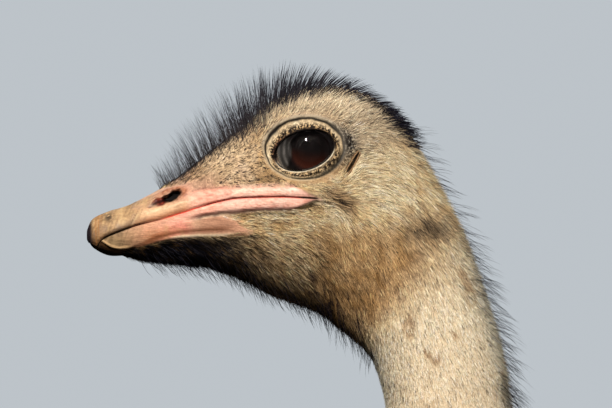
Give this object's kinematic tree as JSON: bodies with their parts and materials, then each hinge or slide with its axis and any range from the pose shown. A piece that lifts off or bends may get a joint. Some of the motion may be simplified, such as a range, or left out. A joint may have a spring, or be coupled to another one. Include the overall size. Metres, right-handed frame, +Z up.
{
  "type": "ostrich",
  "caption": "Life-size standing ostrich: broad flat bill, large eyes, downy S-curved neck, feathered trunk, folded wings and tail, bare legs with two-toed feet.",
  "frame": {"origin": "on the floor, under the middle of the bird's bounding box", "axes": "+Z up, -X the way the bird faces, -Y its left side"},
  "size_m": [1.5413, 0.636, 2.0835],
  "materials": {
    "down": "short beige down with brownish specks",
    "bill_horn": "smooth satin horn, pinkish cream with a grey nail",
    "bill_pink": "satin pink skin and horn",
    "eye": "wet, very dark brown",
    "ear_skin": "bare skin",
    "plumage": "soft grey-brown plumes with pale edges",
    "tail_plumes": "soft pale buff plumes",
    "leg_skin": "bare wrinkled skin",
    "leg_scutes": "horny scales and plates",
    "claws": "worn dark horn"
  },
  "bodies": {
    "root": {"head": "down", "bill_upper": "bill_horn", "bill_lower": "bill_pink", "eye_left": "eye", "eye_right": "eye", "ear_left": "ear_skin", "ear_right": "ear_skin", "neck_upper": "down", "neck_middle": "down", "neck_lower": "down", "trunk": "plumage", "wing_left": "plumage", "wing_right": "plumage", "tail": "tail_plumes", "thigh_left": "leg_skin", "thigh_right": "leg_skin", "drumstick_left": "leg_skin", "drumstick_right": "leg_skin", "shank_left": "leg_scutes", "shank_right": "leg_scutes", "foot_left": "leg_scutes", "foot_right": "leg_scutes", "toe_inner_left": "leg_scutes", "toe_inner_right": "leg_scutes", "toe_outer_left": "leg_scutes", "toe_outer_right": "leg_scutes", "claw_inner_left": "claws", "claw_inner_right": "claws", "claw_outer_left": "claws", "claw_outer_right": "claws"}
  },
  "joints": []
}
